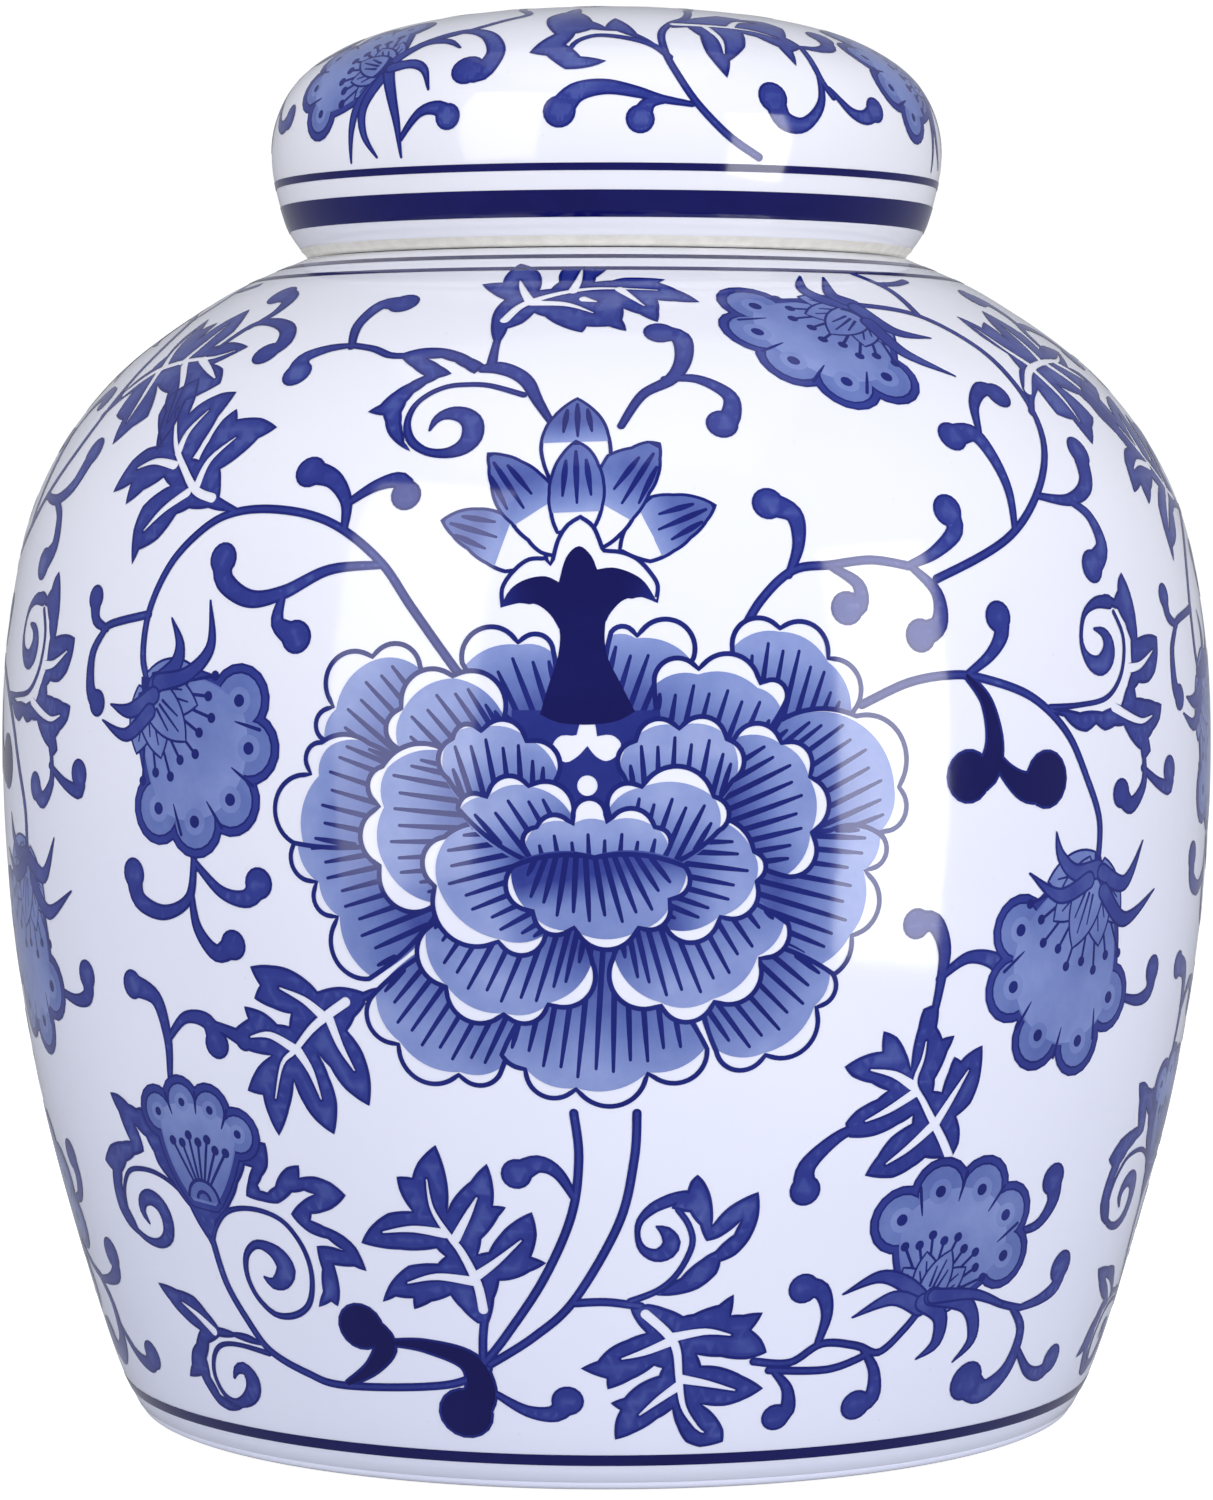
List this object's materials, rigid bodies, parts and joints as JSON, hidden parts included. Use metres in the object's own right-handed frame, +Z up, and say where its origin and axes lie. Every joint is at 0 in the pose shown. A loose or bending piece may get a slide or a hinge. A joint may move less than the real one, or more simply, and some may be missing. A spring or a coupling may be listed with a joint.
{
  "type": "ginger jar",
  "caption": "Round-shouldered porcelain ginger jar that stores dry goods, with a short neck under a domed cap lid that lifts off, glazed white and painted with blue flower scrolls.",
  "frame": {"origin": "centre of the foot ring, on the surface that the jar stands on", "axes": "+Z up along the jar's axis of revolution, through the centre of the lid; -Y is the painted front"},
  "size_m": [0.2, 0.2, 0.2308],
  "materials": {
    "white_glaze": "clear gloss over cool white porcelain",
    "lid_glaze": "clear gloss over cool white porcelain",
    "cobalt_paint": "underglaze blue brushwork below the clear gloss",
    "bare_porcelain": "unglazed, dry and slightly rough, on the foot ring and the lid's rim"
  },
  "bodies": {
    "jar_body": {"jar_body": "white_glaze"},
    "lid": {"lid": "lid_glaze"}
  },
  "joints": [
    {"name": "lid_lift", "type": "slide", "parent": "jar_body", "child": "lid", "axis": [0, 0, 1], "range_m": [0, 0.1]}
  ]
}
